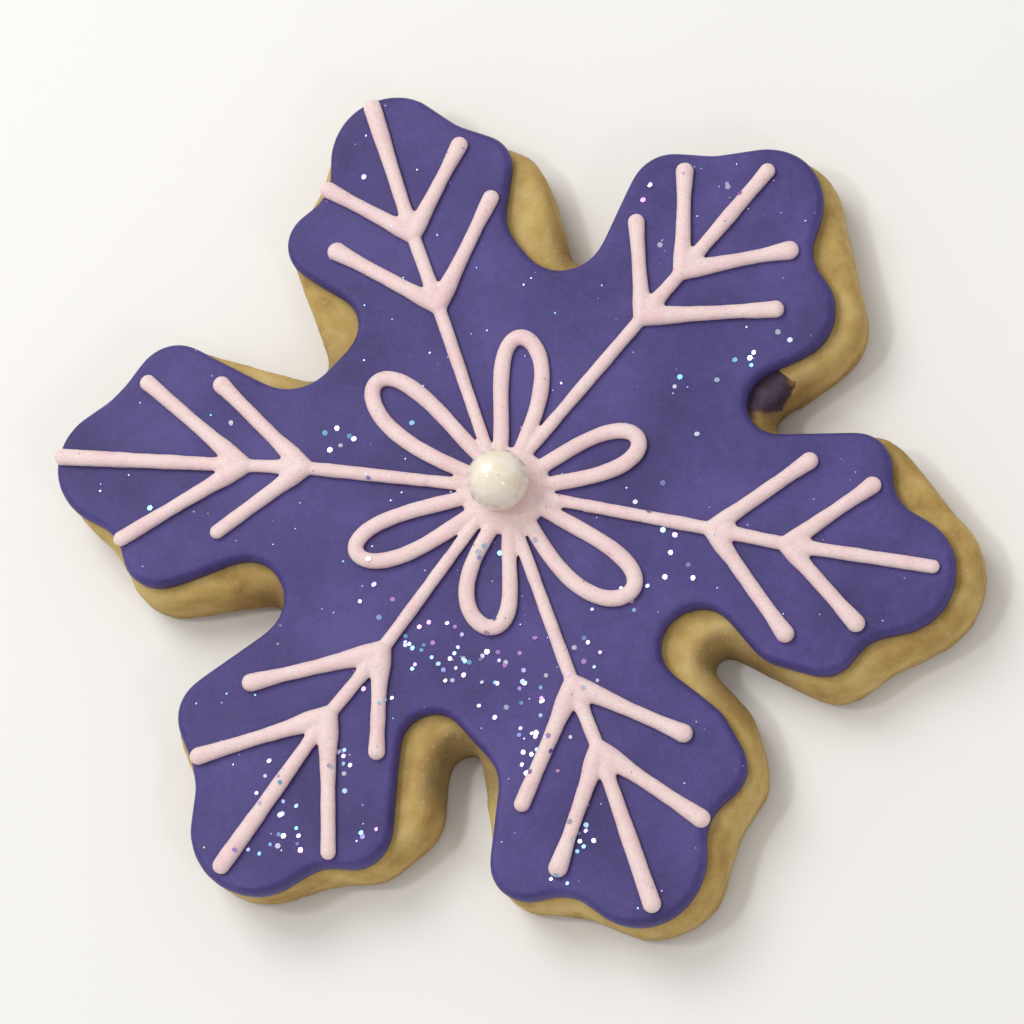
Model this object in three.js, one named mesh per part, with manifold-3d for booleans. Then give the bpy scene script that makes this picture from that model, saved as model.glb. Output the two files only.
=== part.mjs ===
// A six-armed snowflake sugar cookie: cut-out dough, a flooded layer of sugar icing,
// piped sprays and a piped flower, and a sugar pearl in the middle of the flower.
// Millimetres, +Z up. The origin is the middle of the flat underside.
import * as THREE from "three";
import { mergeVertices } from "three/addons/utils/BufferGeometryUtils.js";
import Module from "manifold-3d";

const wasm = await Module();
wasm.setup();

// Heights
const contactGap = 0.3; // space left between pieces that touch
const doughThickness = 7;
const icingThickness = 1.6;
const icingBottom = doughThickness + contactGap;
const icingTop = icingBottom + icingThickness;
const pipingBottom = icingTop + contactGap;

// Rounded edges of the two layers: how far in from the side, and how far down
const doughEdge = { inset: 1.5, drop: 2.2, dentRadius: 15 };
const icingEdge = { inset: 1.1, drop: 0.7, dentRadius: 5 };
const icingShift = { x: -0.3, y: 0.3 }; // the icing lies a little to one side of the dough
const edgeRounding = 2; // facets across a rounded edge
const arcStep = THREE.MathUtils.degToRad(18); // between points on a round stretch
const samePoint = 0.001; // points nearer than this are one point

// Piped lines, each in a number of straight steps
const spine = { width: 1.6, height: 1, steps: 3 };
const branch = { width: 1.7, height: 1, steps: 1 };
const petalLine = { width: 1.8, height: 1.1, steps: 12 };
const strokeFacets = 3; // over a line's half-round section

// The flower and its pearl
const hub = { x: -0.6, y: 2, radius: 5.2, height: 1.7, sides: 16, rings: 3 };
const pearl = { x: -0.8, y: 2.1, radius: 3.6, sides: 16, rings: 10 };
const rootOverlap = 4.5; // from the middle of the hub to where a spine's root ends in it
const petalRoot = { along: 4.2, across: 1.1 }; // where a petal's line leaves the hub
const bellyPower = 1.5; // the higher, the nearer to a petal's end it is widest

// Each arm points along its bearing. Its round lobes are circles, [along, across, radius],
// along measured out from the middle, across to the left. A tip stands between two
// shoulders, and a hollow lies between an arm's left shoulder and the next arm. Dents are
// the radii of the shallow hollows beside the tip, right and left, where they aren't usual.
const doughArms = [
  { bearing: 0, right: [[39.4, -10.6, 4.6]], tip: [45.3, 0.2, 8.9],
    left: [[39.3, 10.5, 5.1]], hollow: [[29.2, 16.3, 2.3]], dents: [15, 60] },
  { bearing: 60, right: [[38.2, -10.5, 6.9]], tip: [45.2, 0.5, 7.9],
    left: [[40, 10.8, 5]], hollow: [[29.7, 15.6, 2.6]], dents: [60, 15] },
  { bearing: 120, right: [[33.3, -11.2, 4.5], [38.6, -10.6, 5.1]], tip: [46.6, 0.1, 7.9],
    left: [[39.2, 10.3, 5]], hollow: [[26.2, 16.6, 2]] },
  { bearing: 180, right: [[42.4, -9, 5.3]], tip: [46.6, 1.4, 7.3],
    left: [[38.2, 11.2, 5.4]], hollow: [[26.5, 16.6, 3.1]] },
  { bearing: 240, right: [[39.2, -9.8, 5.1]], tip: [45.2, 2.2, 7.8],
    left: [[38.1, 11.7, 4.9], [33.6, 12.5, 4.8]], hollow: [[25.3, 15.1, 2.2]] },
  { bearing: 300, right: [[40.1, -9.8, 4.6]], tip: [44.3, 2.5, 7.8],
    left: [[37.1, 12.6, 5], [32.6, 13.4, 4.8]], hollow: [[24.9, 17.2, 1.8]] },
];
const icingArms = [
  { bearing: 0, right: [[34.1, -9.2, 3.9], [39.1, -10.1, 3.7]], tip: [45, -0.9, 7.2],
    left: [[38.5, 10.5, 4.1]], hollow: [[28.5, 17, 3.9]] },
  { bearing: 60, right: [[37.3, -9.3, 6]], tip: [45.4, 1.1, 7.1],
    left: [[40, 10.8, 4.8]], hollow: [[28.9, 17.6, 5.1], [30.2, 20.1, 5.8]], dents: [5, 16] },
  { bearing: 120, right: [[41, -9.2, 4.1]], tip: [46.4, -0.1, 7.3],
    left: [[38.9, 10.6, 4.4]], hollow: [[28.8, 13.5, 4], [28.8, 17.6, 5.9]], dents: [14, 5] },
  { bearing: 180, right: [[42.3, -9, 4.9]], tip: [46.7, 1.7, 7.4],
    left: [[39.2, 10.8, 4.6]], hollow: [[28.1, 15.4, 4.8]], dents: [12, 5] },
  { bearing: 240, right: [[39.1, -9.8, 4.7]], tip: [45.5, 3, 8],
    left: [[38.9, 11.8, 4.5]], hollow: [[25.9, 12.1, 3.7], [27.9, 17.5, 5]], dents: [12, 5] },
  { bearing: 300, right: [[40.2, -10.1, 4.5]], tip: [44.5, 1.6, 7.5],
    left: [[37.2, 12.2, 4.3], [33.3, 11.8, 4]], hollow: [[23.3, 15.4, 4.3]] },
];

// Piped sprays: a spine through two forks to its tip, and the ends of the branches that
// leave it at the inner and the outer fork, [along, across], left branch first
const sprays = [
  { bearing: 0, spine: [[9, 1.6], [23.4, 1], [32.1, 0.5], [49.2, 0.4]],
    inner: [[33.1, 10.5], [34.4, -9.7]], outer: [[40.7, 8.7], [42, -7.3]] },
  { bearing: 60, spine: [[11.6, 2.8], [27, 3.1], [34, 3.2], [49.3, 3.5]],
    inner: [[35.2, 11.8], [36.8, -8.4]], outer: [[43.4, 11.4], [43.1, -4.9]] },
  { bearing: 120, spine: [[12, 0.1], [26.6, 0.2], [36.1, 0.4], [52.8, 0.2]],
    inner: [[37.2, 9.4], [36.6, -9.5]], outer: [[44.9, 8.1], [44.3, -8]] },
  { bearing: 180, spine: [[10, -1.8], [24.9, -1.2], [32.1, -0.4], [53.4, 1.7]],
    inner: [[33, 7.8], [36.6, -9.6]], outer: [[44.1, 10.3], [45.4, -8.6]] },
  { bearing: 240, spine: [[8.6, -1.2], [22, 0.1], [31.4, 0.5], [51.4, 2.8]],
    inner: [[30.5, 7.7], [33.8, -9.2]], outer: [[42.5, 11.3], [43.9, -8]] },
  { bearing: 300, spine: [[9.2, 0.4], [22.9, 0.8], [31.2, 1.2], [49.6, 1.4]],
    inner: [[32.4, 10.7], [33.6, -8.8]], outer: [[42.3, 9.5], [42, -7.2]] },
];
// Petals: how far each reaches, how wide it swells and how far it leans to the left
const petals = [
  { bearing: 30.3, reach: 16.1, belly: 2.3, lean: 0 },
  { bearing: 97, reach: 18.4, belly: 2.5, lean: -0.6 },
  { bearing: 149.7, reach: 20.7, belly: 2.8, lean: 0.4 },
  { bearing: 211.8, reach: 18.4, belly: 2.5, lean: 0.2 },
  { bearing: 276.3, reach: 16.2, belly: 2.7, lean: -0.8 },
  { bearing: 330.5, reach: 19.3, belly: 3.1, lean: -0.5 },
];

// A point given along and across an arm, in the cookie's own plan
function onArm(bearing, [along, across]) {
  return new THREE.Vector2(along, across)
    .rotateAround(new THREE.Vector2(), THREE.MathUtils.degToRad(bearing));
}

// The hollow circle that touches two neighbouring lobes from outside
function dentBetween(first, second, radius) {
  const ahead = second.centre.clone().sub(first.centre);
  const apart = ahead.length();
  const reachFirst = first.radius + radius;
  const reachSecond = second.radius + radius;
  const along = (apart ** 2 + reachFirst ** 2 - reachSecond ** 2) / (2 * apart);
  const aside = Math.sqrt(reachFirst ** 2 - along ** 2);
  ahead.normalize();
  const outward = new THREE.Vector2(ahead.y, -ahead.x);
  const centre = first.centre.clone()
    .addScaledVector(ahead, along)
    .addScaledVector(outward, aside);
  return { centre, radius, turn: -1 };
}

// The circles of one arm in order: turn is 1 where the outline bulges, -1 where it is hollow
function armCircles(arm, dentRadius) {
  const circle = (turn) => ([along, across, radius]) =>
    ({ centre: onArm(arm.bearing, [along, across]), radius, turn });
  const [rightDent, leftDent] = arm.dents ?? [dentRadius, dentRadius];
  const right = arm.right.map(circle(1));
  const tip = circle(1)(arm.tip);
  const left = arm.left.map(circle(1));
  return [
    ...right,
    dentBetween(right.at(-1), tip, rightDent),
    tip,
    dentBetween(tip, left[0], leftDent),
    ...left,
    ...arm.hollow.map(circle(-1)),
  ];
}

// Heading of the straight line that runs off one circle and onto the next
function headingBetween(from, to) {
  const line = to.centre.clone().sub(from.centre);
  const change = from.turn * from.radius - to.turn * to.radius;
  return line.angle() + Math.asin(THREE.MathUtils.clamp(change / line.length(), -1, 1));
}

// The closed outline that is wound round all the circles like a belt
function outline(arms, dentRadius) {
  const circles = arms.flatMap((arm) => armCircles(arm, dentRadius));
  const headings = circles.map((circle, i) =>
    headingBetween(circle, circles[(i + 1) % circles.length]));
  const points = circles.flatMap(({ centre: { x, y }, radius, turn }, i) => {
    const side = turn * Math.PI / 2;
    const start = headings.at(i - 1) - side;
    const end = headings[i] - side;
    const sweep = THREE.MathUtils.euclideanModulo(turn * (end - start), 2 * Math.PI);
    const arc = new THREE.EllipseCurve(x, y, radius, radius, start, end, turn < 0);
    return arc.getPoints(Math.ceil(sweep / arcStep));
  });
  return new THREE.Shape(points.filter((point, i) =>
    point.distanceTo(points.at(i - 1)) > samePoint));
}

// A layer with rounded upper and lower edges that stands on the height given
function layer(arms, bottom, thickness, edge) {
  return new THREE.ExtrudeGeometry(outline(arms, edge.dentRadius), {
    depth: thickness - 2 * edge.drop,
    bevelThickness: edge.drop,
    bevelSize: edge.inset,
    bevelOffset: -edge.inset,
    bevelSegments: edgeRounding,
  }).translate(0, 0, bottom + edge.drop);
}

// Conversion between three.js geometry and solids that can be joined and cut
function toSolid(geometry) {
  const bare = geometry.clone();
  bare.deleteAttribute("normal");
  bare.deleteAttribute("uv");
  const merged = mergeVertices(bare);
  return new wasm.Manifold(new wasm.Mesh({
    numProp: 3,
    vertProperties: merged.attributes.position.array,
    triVerts: new Uint32Array(merged.index.array),
  }));
}

function toGeometry(solid) {
  const { vertProperties, triVerts } = solid.getMesh();
  const geometry = new THREE.BufferGeometry();
  geometry.setAttribute("position", new THREE.BufferAttribute(vertProperties, 3));
  geometry.setIndex(new THREE.BufferAttribute(triVerts, 1));
  geometry.computeVertexNormals();
  return geometry;
}

function join(solids) {
  return solids.reduce((whole, solid) => whole.add(solid));
}

// A half-round line of icing along a flat curve, with its flat side down
function stroke(points, size) {
  const path = new THREE.CatmullRomCurve3(points.map(({ x, y }) =>
    new THREE.Vector3(x, y, pipingBottom)));
  const section = new THREE.Shape();
  section.absellipse(0, 0, size.height, size.width / 2, Math.PI / 2, 1.5 * Math.PI);
  return toSolid(new THREE.ExtrudeGeometry(section, {
    extrudePath: path,
    steps: size.steps,
    curveSegments: strokeFacets,
    bevelEnabled: false,
  }));
}

// The low dome of icing in the middle of the flower
function hubDome() {
  const profile = new THREE.Path().absellipse(0, 0, hub.radius, hub.height, 0, Math.PI / 2);
  const points = [new THREE.Vector2(0, 0), ...profile.getPoints(hub.rings)];
  points.at(-1).x = 0;
  return toSolid(new THREE.LatheGeometry(points, hub.sides)
    .rotateX(Math.PI / 2)
    .translate(hub.x, hub.y, pipingBottom));
}

// A spine with two pairs of branches, in one piece
function spray({ bearing, spine: spinePoints, inner, outer }) {
  const points = spinePoints.map((point) => onArm(bearing, point));
  const [, innerFork, outerFork] = points;
  const branches = [[innerFork, inner], [outerFork, outer]].flatMap(([fork, ends]) =>
    ends.map((end) => stroke([fork, onArm(bearing, end)], branch)));
  return toGeometry(join([stroke(points, spine), ...branches]));
}

// The loop of one petal: out from the hub, round its end and back
function petal({ bearing, reach, belly, lean }) {
  const points = [];
  for (let i = 0; i <= petalLine.steps; i += 1) {
    const angle = Math.PI * i / petalLine.steps;
    const outward = Math.sin(angle);
    const along = petalRoot.along + (reach - petalRoot.along) * outward ** 2;
    const swell = belly * Math.sin(2 * angle) * outward ** bellyPower;
    const sway = lean * Math.sin(2 * angle) ** 2;
    const across = swell + sway + petalRoot.across * Math.cos(angle);
    points.push(onArm(bearing, [along, across]).add(new THREE.Vector2(hub.x, hub.y)));
  }
  return stroke(points, petalLine);
}

function pearlBall(radius) {
  return new THREE.SphereGeometry(radius, pearl.sides, pearl.rings)
    .rotateX(Math.PI / 2)
    .translate(pearl.x, pearl.y, pipingBottom + pearl.radius);
}

// The stretch of a spine that runs on from its spray to the hub
function spineRoot({ bearing, spine: spinePoints }) {
  const [start, fork] = spinePoints.map((point) => onArm(bearing, point));
  const inward = start.clone().sub(fork).normalize();
  const end = start.clone().addScaledVector(inward, contactGap);
  const middle = new THREE.Vector2(hub.x, hub.y);
  const reach = end.distanceTo(middle) - rootOverlap;
  return stroke([end, end.clone().addScaledVector(inward, reach)], { ...spine, steps: 1 });
}

// The hub, its petals and the roots of the spines, with a seat for the pearl in the hub
function flower() {
  const seat = toSolid(pearlBall(pearl.radius + contactGap));
  const lines = [...petals.map(petal), ...sprays.map(spineRoot)];
  return toGeometry(join([hubDome(), ...lines]).subtract(seat));
}

// Materials
function bakedDough() {
  return new THREE.MeshStandardMaterial({ color: 0xb89c67, roughness: 0.9, metalness: 0 });
}

function floodIcing() {
  return new THREE.MeshStandardMaterial({ color: 0x5b5084, roughness: 0.5, metalness: 0 });
}

function pipedIcing() {
  return new THREE.MeshStandardMaterial({ color: 0xead1cf, roughness: 0.55, metalness: 0 });
}

function sugarPearl() {
  return new THREE.MeshStandardMaterial({ color: 0xf2ede2, roughness: 0.2, metalness: 0 });
}

// The cookie
const cookie = new THREE.Group();

function addPiece(name, geometry, material) {
  const piece = new THREE.Mesh(geometry, material);
  piece.name = name;
  cookie.add(piece);
}

addPiece("dough", layer(doughArms, 0, doughThickness, doughEdge), bakedDough());
addPiece("icing", layer(icingArms, icingBottom, icingThickness, icingEdge)
  .translate(icingShift.x, icingShift.y, 0), floodIcing());
for (const row of sprays) {
  addPiece(`spray_${row.bearing}`, spray(row), pipedIcing());
}
addPiece("flower", flower(), pipedIcing());
addPiece("pearl", pearlBall(pearl.radius), sugarPearl());

export default cookie;
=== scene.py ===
import math
import random

import bmesh
import bpy
import numpy as np
from mathutils import Matrix, Quaternion, Vector, noise
from mathutils.bvhtree import BVHTree
from mathutils.geometry import delaunay_2d_cdt


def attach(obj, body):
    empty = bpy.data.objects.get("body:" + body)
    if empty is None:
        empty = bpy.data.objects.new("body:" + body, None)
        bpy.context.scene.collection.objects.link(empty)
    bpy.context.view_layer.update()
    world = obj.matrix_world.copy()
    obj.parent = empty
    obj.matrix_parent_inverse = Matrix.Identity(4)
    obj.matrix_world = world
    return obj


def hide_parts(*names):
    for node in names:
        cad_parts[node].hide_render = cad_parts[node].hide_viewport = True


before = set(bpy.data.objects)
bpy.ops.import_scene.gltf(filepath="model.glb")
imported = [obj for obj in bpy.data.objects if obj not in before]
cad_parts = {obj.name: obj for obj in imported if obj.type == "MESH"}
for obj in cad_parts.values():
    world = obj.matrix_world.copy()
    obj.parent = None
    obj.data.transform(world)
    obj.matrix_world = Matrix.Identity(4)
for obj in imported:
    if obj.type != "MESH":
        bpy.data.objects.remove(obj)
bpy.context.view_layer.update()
scene = bpy.context.scene
metresPerMm = 0.001  # pieces are shaped in millimetres and scaled once, at the end
print("frame loaded:", ", ".join(sorted(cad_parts)))


# Blender's linear colour for an sRGB hex value
def linearColor(hexValue):
    channels = [int(hexValue[i:i + 2], 16) / 255 for i in (0, 2, 4)]
    linear = [c / 12.92 if c <= 0.04045 else ((c + 0.055) / 1.055) ** 2.4 for c in channels]
    return (*linear, 1.0)


# sets a node's inputs, by name or in their order. Each is a value, a socket, a node that gives
# its first live output, or a list of nodes that all run into the one input
def feed(tree, node, inputs):
    for name, given in inputs.items() if isinstance(inputs, dict) else enumerate(inputs):
        for value in given if isinstance(given, list) else [given]:
            if isinstance(value, bpy.types.Node):
                value = next(socket for socket in value.outputs if socket.enabled)
            if isinstance(value, bpy.types.NodeSocket):
                tree.links.new(value, node.inputs[name])
            else:
                node.inputs[name].default_value = value


# the stops are a Color Ramp's, the settings are the node's own properties
def addNode(tree, kind, inputs=(), stops=(), **settings):
    node = tree.nodes.new(kind)
    for name, value in settings.items():
        setattr(node, name, value)
    if stops:
        elements = node.color_ramp.elements
        while len(elements) < len(stops):
            elements.new(0.5)
        for element, (position, hexValue) in zip(elements, stops):
            element.position = position
            element.color = linearColor(hexValue)
    feed(tree, node, inputs)
    return node


# a material from its look: the shader's settings, and its noises as [size in millimetres,
# detail, roughness] on the piece's own coordinates
def newMaterial(name, look):
    material = bpy.data.materials.new(name)
    material.use_nodes = True
    tree = material.node_tree
    feed(tree, tree.nodes["Principled BSDF"], look["shader"])
    fields = [addNode(tree, "ShaderNodeTexNoise", {
        "Vector": addNode(tree, "ShaderNodeTexCoord").outputs["Object"],
        "Scale": 1 / (size * metresPerMm), "Detail": detail, "Roughness": rough,
    }) for size, detail, rough in look.get("noises", ())]
    return material, tree, fields


# the end of a material: its relief in millimetres, and what else its shader reads from nodes
def finishMaterial(material, look, height, inputs):
    tree = material.node_tree
    bump = addNode(tree, "ShaderNodeBump", {
        "Height": height, "Strength": look["strength"], "Distance": look["relief"] * metresPerMm,
    })
    feed(tree, tree.nodes["Principled BSDF"], {**inputs, "Normal": bump})
    return material


# camera and light, as the photograph was taken: from above the near right of the cookie
camera = {
    "azimuth": 45.0,
    "elevation": 68.0,
    "roll": -34.5,
    "distance": 600.0,
    "lens": 186.7,
    "sensor": 36.0,
    "clip": (10.0, 10000.0),
    "aim": (0.51, -0.24, 8.69),
}
studio = {
    "sky": "fdfbf8",
    "ambient": 0.56,
    "paper": {"Base Color": linearColor("f4f3f1"), "Roughness": 0.9},
    "floorSize": 3000.0,
    "floorDrop": 0.02,  # so that the flat underside doesn't lie in the floor's own plane
    "lampDistance": 700.0,
    "lamps": {  # bearing, elevation, width and power
        "key_light": (146.0, 52.0, 420.0, 1.98),
        "spark_light": (196.0, 67.0, 90.0, 0.7),  # on the left, and a glint on the pearl
        "back_light": (326.0, 43.0, 110.0, 0.28),  # a faint one behind the camera
    },
}


def towards(bearing, elevation):
    turn, rise = math.radians(bearing), math.radians(elevation)
    return Vector((math.cos(turn) * math.cos(rise), math.sin(turn) * math.cos(rise), math.sin(rise)))


def makeCamera():
    data = bpy.data.cameras.new("camera")
    data.sensor_width = camera["sensor"]
    data.lens = camera["lens"]
    data.clip_start, data.clip_end = (length * metresPerMm for length in camera["clip"])
    back = towards(camera["azimuth"] - 90, camera["elevation"])
    body = bpy.data.objects.new("camera", data)
    body.rotation_mode = "QUATERNION"
    roll = Quaternion((0, 0, 1), math.radians(camera["roll"]))
    body.rotation_quaternion = (-back).to_track_quat("-Z", "Y") @ roll
    body.location = (Vector(camera["aim"]) + back * camera["distance"]) * metresPerMm
    scene.collection.objects.link(body)
    scene.camera = body


def makeLamp(name, bearing, elevation, width, power):
    data = bpy.data.lights.new(name, "AREA")
    data.shape = "DISK"
    data.size = width * metresPerMm
    data.energy = power
    lamp = bpy.data.objects.new(name, data)
    direction = towards(bearing, elevation)
    lamp.location = direction * studio["lampDistance"] * metresPerMm
    lamp.rotation_mode = "QUATERNION"
    lamp.rotation_quaternion = direction.to_track_quat("Z", "Y")
    scene.collection.objects.link(lamp)


def makeStudio():
    world = bpy.data.worlds.new("studio")
    world.use_nodes = True
    sky = {"Color": linearColor(studio["sky"]), "Strength": studio["ambient"]}
    feed(world.node_tree, world.node_tree.nodes["Background"], sky)
    scene.world = world
    scene.view_settings.view_transform = "Standard"
    for name, lamp in studio["lamps"].items():
        makeLamp(name, *lamp)
    half = studio["floorSize"] / 2 * metresPerMm
    mesh = bpy.data.meshes.new("floor")
    mesh.from_pydata([(-half, -half, 0), (half, -half, 0), (half, half, 0), (-half, half, 0)],
                     [], [(0, 1, 2, 3)])
    # white seamless paper is matt, so only soft shadows show on it
    paper = newMaterial("white seamless paper", {"shader": studio["paper"]})[0]
    mesh.materials.append(paper)
    floor = bpy.data.objects.new("floor", mesh)
    floor.location.z = -studio["floorDrop"] * metresPerMm
    scene.collection.objects.link(floor)


makeCamera()
makeStudio()
print("camera and studio set")


# materials. The inputs of a Mix node share their names, so they go by number: 0 is its factor,
# 2 and 3 are its values, 6 and 7 its colours. A Map Range node is given as the range that a value
# comes from and the one that it goes to, and a layer of colour as its hex value and such a range

# baked sugar cookie dough: dry, open crumb that scatters light, so it has no gloss and looks
# sandy, paler where the crumb is broken, and darker low down and deep in the notches: baked
# browning with painted shade added, a painted shadow where the wall meets the floor and painted
# shade where a notch closes in
def bakedDough():
    crumb = {
        "shader": {"Roughness": 0.85, "IOR": 1.45, "Subsurface Weight": 0.15, "Subsurface Scale": 0.001},
        "noises": [(9.0, 4.0, 0.5), (2.2, 4.0, 0.6), (0.4, 2.0, 0.6)],  # patches, clumps, grain
        "clumpShare": 0.4,
        "dough": [(0.34, "a48246"), (0.5, "c0a260"), (0.66, "d2b97c")],
        # foot: browning low on the wall, made dark enough to paint in the shadow where the wall meets the
        # floor
        "foot": "84602f", "footHeight": (4.2, 1.2), "footShare": 0.85, "ragged": 1.6,
        "nook": "5f4526", "nookClumps": (0.3, 0.7, 0.5, 0.85),
        "broken": "e0cc9e", "brokenGrain": (0.6, 0.75, 0.0, 0.3),
        "clumpRelief": 0.6, "strength": 0.5, "relief": 0.17,
    }
    material, tree, (patches, clumps, grain) = newMaterial("baked sugar cookie dough", crumb)
    tone = addNode(tree, "ShaderNodeMix", {0: crumb["clumpShare"], 2: patches, 3: clumps})
    base = addNode(tree, "ShaderNodeValToRGB", (tone,), crumb["dough"])
    place = addNode(tree, "ShaderNodeTexCoord").outputs["Object"]
    height = addNode(tree, "ShaderNodeSeparateXYZ", (place,)).outputs["Z"]
    # painted shadow and browning: darker the nearer the floor
    lifted = addNode(tree, "ShaderNodeMath", (clumps, crumb["ragged"] * metresPerMm, height),
                     operation="MULTIPLY_ADD")
    above, below = (limit * metresPerMm for limit in crumb["footHeight"])
    brownedAndShaded = addNode(tree, "ShaderNodeMapRange", (lifted, above, below, 0.0, crumb["footShare"]))
    # painted shade deep in the notches, patchy with the clumps, with some baked browning in it
    nook = addNode(tree, "ShaderNodeAttribute", attribute_name="nook").outputs["Fac"]
    uneven = addNode(tree, "ShaderNodeMapRange", (clumps, *crumb["nookClumps"]))
    nookShadeAndBrowning = addNode(tree, "ShaderNodeMath", (nook, uneven), operation="MULTIPLY")
    pale = addNode(tree, "ShaderNodeMapRange", (grain, *crumb["brokenGrain"]))
    for share, color in ((brownedAndShaded, "foot"), (nookShadeAndBrowning, "nook"), (pale, "broken")):
        base = addNode(tree, "ShaderNodeMix", {0: share, 6: base, 7: linearColor(crumb[color])},
                       data_type="RGBA")
    relief = addNode(tree, "ShaderNodeMath", (clumps, crumb["clumpRelief"], grain),
                     operation="MULTIPLY_ADD")
    return finishMaterial(material, crumb, relief, {"Base Color": base})


# violet sugar icing that was flooded over the top and set: a dense satin skin with a fine
# grain of sugar, a soft sheen rather than a mirror, and slight cloudiness in its dye
def floodIcing():
    skin = {
        "shader": {"IOR": 1.46, "Specular IOR Level": 0.35, "Subsurface Weight": 0.08,
                   "Subsurface Scale": 0.0006},
        "noises": [(11.0, 3.0, 0.5), (1.5, 3.0, 0.6), (0.42, 2.0, 0.5)],  # clouds, mottle, grain
        "mottleShare": 0.35,
        "dye": [(0.36, "3d336c"), (0.5, "483e7d"), (0.64, "54498b")],
        "bloom": ("6a5fa2", 0.5, 0.72, 0.0, 0.13),
        "dark": ("352c5e", 0.48, 0.3, 0.0, 0.13),
        "satin": (0.3, 0.7, 0.5, 0.6),
        "grainRelief": 0.3, "strength": 0.45, "relief": 0.05,
    }
    material, tree, (clouds, mottle, grain) = newMaterial("flooded violet sugar icing", skin)
    tone = addNode(tree, "ShaderNodeMix", {0: skin["mottleShare"], 2: clouds, 3: mottle})
    base = addNode(tree, "ShaderNodeValToRGB", (tone,), skin["dye"])
    for color, *reach in (skin["bloom"], skin["dark"]):
        share = addNode(tree, "ShaderNodeMapRange", (grain, *reach))
        base = addNode(tree, "ShaderNodeMix", {0: share, 6: base, 7: linearColor(color)},
                       data_type="RGBA")
    satin = addNode(tree, "ShaderNodeMapRange", (mottle, *skin["satin"]))
    relief = addNode(tree, "ShaderNodeMath", (grain, skin["grainRelief"], mottle),
                     operation="MULTIPLY_ADD")
    return finishMaterial(material, skin, relief, {"Base Color": base, "Roughness": satin})


# the same icing where it was smeared thin over the crumb: the brown dough shows through it, so
# it looks redder, and it is darker with painted shade for the notch's shadow under the icing's
# overhang; it fades out at its rim, and the crumb leaves it uneven and dull
def smearedIcing():
    smear = {
        "shader": {"Roughness": 0.6, "Specular IOR Level": 0.3},
        "noises": [(2.0, 4.0, 0.6)],  # streaks
        # dark partly from the brown crumb under the thin icing, partly painted shade
        "dye": [(0.36, "2c1f34"), (0.5, "3d2d42"), (0.66, "4f3c50")],
        "uneven": (0.3, 0.7, -0.2, 0.2),
        "thin": ("57392f", 0.65, 1.0, 0.0, 1.0),
        "rim": ("8f6c3c", 0.42, 0.8, 0.0, 1.0),
        "strength": 0.5, "relief": 0.15,
    }
    material, tree, (streaks,) = newMaterial("violet icing smeared over crumb", smear)
    base = addNode(tree, "ShaderNodeValToRGB", (streaks,), smear["dye"])
    cover = addNode(tree, "ShaderNodeAttribute", attribute_name="cover").outputs["Fac"]
    uneven = addNode(tree, "ShaderNodeMapRange", (streaks, *smear["uneven"]))
    depth = addNode(tree, "ShaderNodeMath", (cover, uneven), operation="ADD")
    for color, *reach in (smear["thin"], smear["rim"]):
        share = addNode(tree, "ShaderNodeMapRange", (depth, *reach))
        base = addNode(tree, "ShaderNodeMix", {0: share, 6: linearColor(color), 7: base},
                       data_type="RGBA")
    return finishMaterial(material, smear, streaks, {"Base Color": base})


# pale pink piping icing, squeezed out stiff and air dried: smooth, a little translucent, with a
# creamy cast in soft clouds and faint streaks where the sugar dried unevenly
def pipedIcing():
    line = {
        "shader": {"IOR": 1.46, "Subsurface Weight": 0.25, "Subsurface Scale": 0.001},
        "noises": [(5.0, 3.0, 0.5), (1.1, 3.0, 0.6), (0.3, 2.0, 0.5)],  # clouds, streaks, grain
        "streakShare": 0.4,
        "dye": [(0.36, "ebcbcf"), (0.5, "f0d6d6"), (0.66, "f1dedb")],
        "specks": ("dbb9b2", 0.5, 0.32, 0.0, 0.4),
        "satin": (0.3, 0.7, 0.44, 0.58),
        "grainRelief": 0.8, "strength": 0.45, "relief": 0.08,
    }
    material, tree, (clouds, streaks, grain) = newMaterial("piped pale pink sugar icing", line)
    tone = addNode(tree, "ShaderNodeMix", {0: line["streakShare"], 2: clouds, 3: streaks})
    base = addNode(tree, "ShaderNodeValToRGB", (tone,), line["dye"])
    color, *reach = line["specks"]
    share = addNode(tree, "ShaderNodeMapRange", (grain, *reach))
    base = addNode(tree, "ShaderNodeMix", {0: share, 6: base, 7: linearColor(color)}, data_type="RGBA")
    satin = addNode(tree, "ShaderNodeMapRange", (streaks, *line["satin"]))
    relief = addNode(tree, "ShaderNodeMath", (grain, line["grainRelief"], streaks),
                     operation="MULTIPLY_ADD")
    return finishMaterial(material, line, relief, {"Base Color": base, "Roughness": satin})


# sugar pearl: a pressed sugar ball under many thin coats of pearl shimmer, which gives a broad
# soft glow with a sharp small highlight on it
def sugarPearl():
    coat = {
        "shader": {"Roughness": 0.5, "IOR": 1.45, "Coat Weight": 1.0, "Coat Roughness": 0.11,
                   "Coat IOR": 1.6, "Subsurface Weight": 0.3, "Subsurface Scale": 0.002},
        "noises": [(1.6, 3.0, 0.6), (1.3, 2.0, 0.5)],  # clouds, dimples
        "shimmer": [(0.35, "f1e5cc"), (0.5, "f8eedb"), (0.65, "fbf4e6")],
        "strength": 0.6, "relief": 0.14,
    }
    material, tree, (clouds, dimples) = newMaterial("shimmer-coated sugar pearl", coat)
    base = addNode(tree, "ShaderNodeValToRGB", (clouds,), coat["shimmer"])
    return finishMaterial(material, coat, dimples, {"Base Color": base})


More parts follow.
